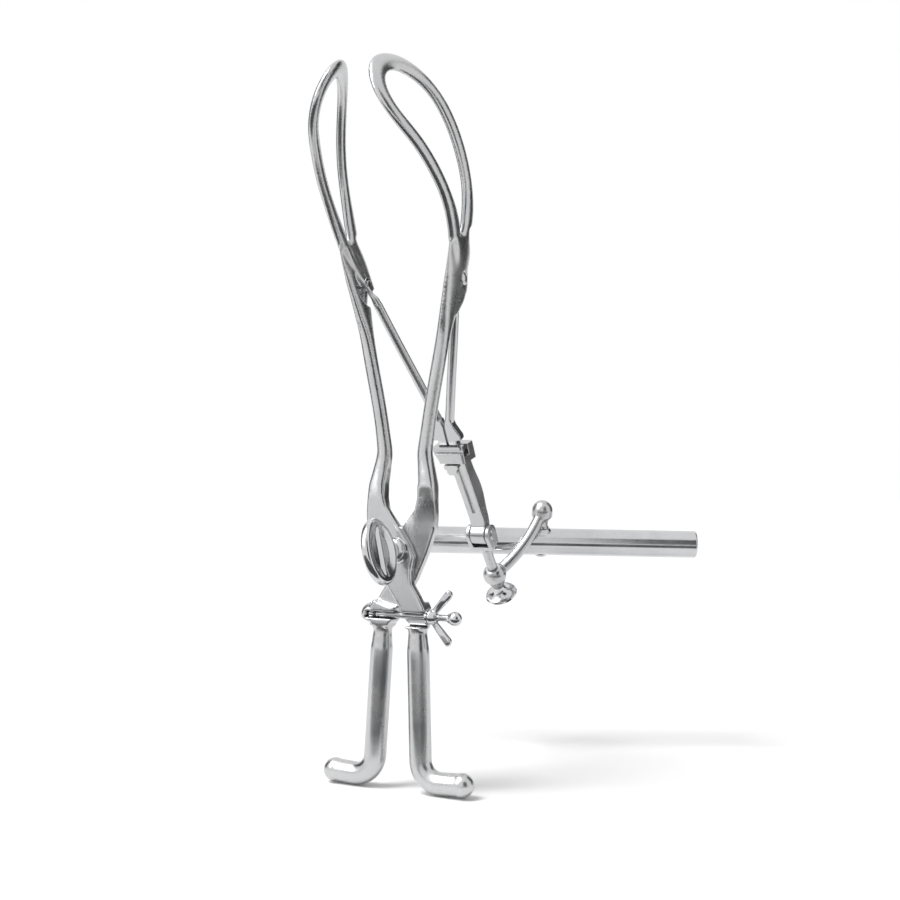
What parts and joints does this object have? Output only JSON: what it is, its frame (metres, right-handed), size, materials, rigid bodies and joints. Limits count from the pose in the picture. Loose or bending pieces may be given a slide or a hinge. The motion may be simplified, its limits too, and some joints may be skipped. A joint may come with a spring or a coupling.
{
  "type": "axis traction obstetric forceps",
  "caption": "Long obstetric forceps with fenestrated blades, a screw lock and hooked handles, with hinged traction rods and a swivelling crossbar handle.",
  "frame": {"origin": "on the axis of the lock screw, in the flat back face of the lock", "axes": "+Z from the lock towards the blades, +Y towards the back, +X to the right of the front view"},
  "size_m": [0.187, 0.2822, 0.3866],
  "materials": {
    "forged_steel": "satin forged stainless steel, polished on the blades",
    "screw_steel": "polished plated steel",
    "pin_steel": "polished riveted pins",
    "rod_steel": "drawn and polished rod",
    "fitting_steel": "satin machined steel",
    "handle_steel": "plated tube, satin polish"
  },
  "bodies": {
    "left_branch_body": {"left_branch": "forged_steel", "left_rod_pin": "pin_steel"},
    "right_branch_body": {"right_branch": "forged_steel", "right_rod_pin": "pin_steel", "compression_pin": "pin_steel"},
    "lock_screw_body": {"lock_screw": "screw_steel", "lock_washer": "screw_steel"},
    "traction_body": {"left_traction_rod": "rod_steel", "coupling_block": "fitting_steel", "traction_shaft": "fitting_steel", "shaft_hinge_pin": "pin_steel"},
    "right_rod_body": {"right_traction_rod": "rod_steel"},
    "catch_body": {"catch_slide": "pin_steel"},
    "stem_body": {"swivel_stem": "fitting_steel", "stem_button": "screw_steel"},
    "arm_body": {"handle_arm": "fitting_steel", "crossbar_rivet": "pin_steel"},
    "crossbar_body": {"crossbar": "handle_steel", "saddle_washer": "pin_steel"},
    "screw_body": {"compression_screw": "rod_steel", "stop_ball": "screw_steel"},
    "washer_body": {"thrust_washer": "pin_steel"},
    "nut_body": {"wing_nut": "screw_steel"}
  },
  "joints": [
    {"name": "lock_open", "type": "hinge", "parent": "left_branch_body", "child": "right_branch_body", "pos_m": [0, 0, 0], "axis": [0, 1, 0], "range_deg": [0, 8]},
    {"name": "lock_screw_turn", "type": "hinge", "parent": "right_branch_body", "child": "lock_screw_body", "pos_m": [0, 0, 0], "axis": [0, 1, 0], "continuous": true},
    {"name": "left_rod_swing", "type": "hinge", "parent": "left_branch_body", "child": "traction_body", "pos_m": [0, -0.0015, 0.1476], "axis": [1, 0, 0], "range_deg": [-8, 45]},
    {"name": "right_rod_swing", "type": "hinge", "parent": "right_branch_body", "child": "right_rod_body", "pos_m": [0, -0.0015, 0.1476], "axis": [1, 0, 0], "range_deg": [-8, 45]},
    {"name": "catch_pull", "type": "slide", "parent": "traction_body", "child": "catch_body", "axis": [0, 0.515, -0.8572], "range_m": [0, 0.0025]},
    {"name": "shaft_fold", "type": "hinge", "parent": "traction_body", "child": "stem_body", "pos_m": [0, 0.0967, 0.0063], "axis": [1, 0, 0], "range_deg": [-20, 60]},
    {"name": "handle_swivel", "type": "hinge", "parent": "stem_body", "child": "arm_body", "pos_m": [0, 0.11881, -0.02005], "axis": [0, 0.6428, -0.766], "range_deg": [-90, 90]},
    {"name": "crossbar_turn", "type": "hinge", "parent": "arm_body", "child": "crossbar_body", "pos_m": [0.01631, 0.15416, 0.00062], "axis": [-0.1502, 0.304, -0.9408], "range_deg": [-4, 80]},
    {"name": "screw_swing", "type": "hinge", "parent": "right_branch_body", "child": "screw_body", "pos_m": [-0.0176, -0.0055, -0.0355], "axis": [0, 0, -1], "range_deg": [0, 80]},
    {"name": "nut_travel", "type": "slide", "parent": "screw_body", "child": "washer_body", "axis": [1, 0, 0], "range_m": [0, 0.0065]},
    {"name": "nut_spin", "type": "hinge", "parent": "washer_body", "child": "nut_body", "pos_m": [0.02, -0.0055, -0.0355], "axis": [1, 0, 0], "continuous": true}
  ],
  "couplings": [
    {"joint": "right_rod_swing", "follows": "left_rod_swing", "ratio": 1},
    {"joint": "nut_travel", "follows": "lock_open", "m_per_rad": 0.0434}
  ]
}
